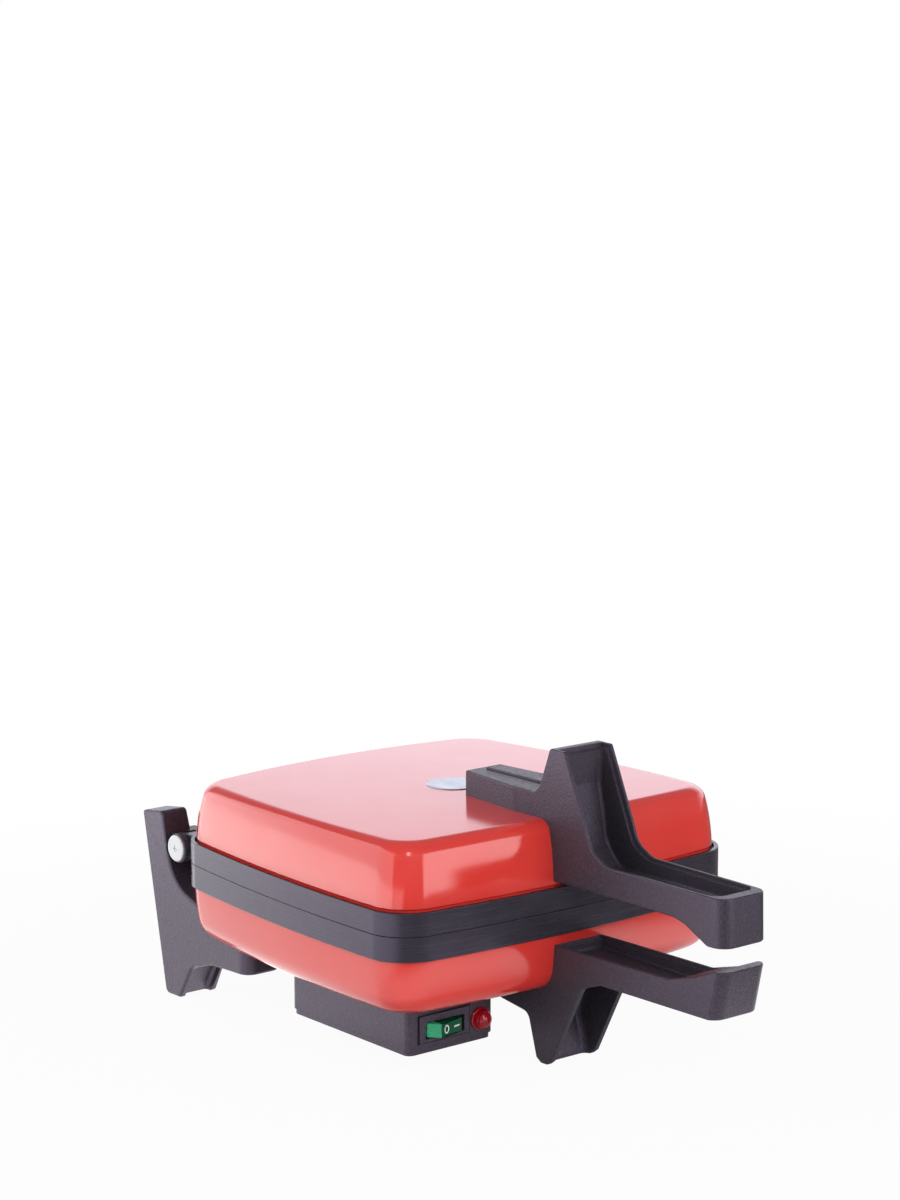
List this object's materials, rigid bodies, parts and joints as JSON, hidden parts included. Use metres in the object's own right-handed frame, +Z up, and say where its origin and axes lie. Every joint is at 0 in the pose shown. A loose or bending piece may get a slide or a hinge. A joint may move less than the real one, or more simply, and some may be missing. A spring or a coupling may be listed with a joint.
{
  "type": "taiyaki maker",
  "caption": "Electric countertop cooker: a red enamelled lid hinged at the rear closes over fish-shaped moulds, with front grips, legs and a switch box.",
  "frame": {"origin": "centre of the bounding box on the table", "axes": "+Z up; -Y to the front, where the grips are; +X to the right seen from the front"},
  "size_m": [0.243, 0.3954, 0.1746],
  "materials": {
    "enamel": "gloss vitreous enamel on drawn steel",
    "bakelite": "moulded phenolic plastic, fine satin texture",
    "cast_plate": "dark non-stick coating on cast aluminium",
    "steel": "zinc plated",
    "heater_tube": "heat-tinted sheath",
    "reflector": "bright pressed sheet",
    "lead_sleeve": "braided glass sleeve",
    "white_cap": "gloss",
    "white_ceramic": "unglazed ceramic and pale plastic",
    "green_rocker": "translucent tinted",
    "red_lens": "translucent tinted"
  },
  "bodies": {
    "base": {"lower_shell": "enamel", "lower_belt": "bakelite", "lower_plate": "cast_plate", "lower_heater": "heater_tube", "lower_reflector": "reflector", "lower_leads": "lead_sleeve", "lower_handle": "bakelite", "lower_handle_screws": "steel", "lower_plate_screws": "steel", "rear_bracket_left": "bakelite", "rear_bracket_right": "bakelite", "bracket_screws": "steel", "hinge_pins": "steel", "hinge_knobs": "bakelite", "hinge_caps": "white_cap", "hinge_nuts": "steel", "thermostat": "steel", "thermal_fuse": "white_ceramic", "terminal_block": "white_ceramic", "control_box": "bakelite", "control_box_cover": "bakelite", "cover_screws": "steel", "cord_bushing": "bakelite", "switch_housing": "bakelite", "lamp_lens": "red_lens", "lamp_body": "white_ceramic"},
    "lid": {"upper_shell": "enamel", "upper_belt": "bakelite", "upper_plate": "cast_plate", "upper_heater": "heater_tube", "upper_reflector": "reflector", "upper_leads": "lead_sleeve", "upper_handle": "bakelite", "upper_handle_screws": "steel", "upper_plate_screws": "steel"},
    "rocker": {"switch_rocker": "green_rocker"}
  },
  "joints": [
    {"name": "lid_hinge", "type": "hinge", "parent": "base", "child": "lid", "pos_m": [0, 0.16479, 0.0885], "axis": [-1, 0, 0], "range_deg": [0, 80]},
    {"name": "switch_rocker", "type": "hinge", "parent": "base", "child": "rocker", "pos_m": [-0.0694, -0.03791, 0.0265], "axis": [0, 0, -1], "range_deg": [0, 24]}
  ]
}
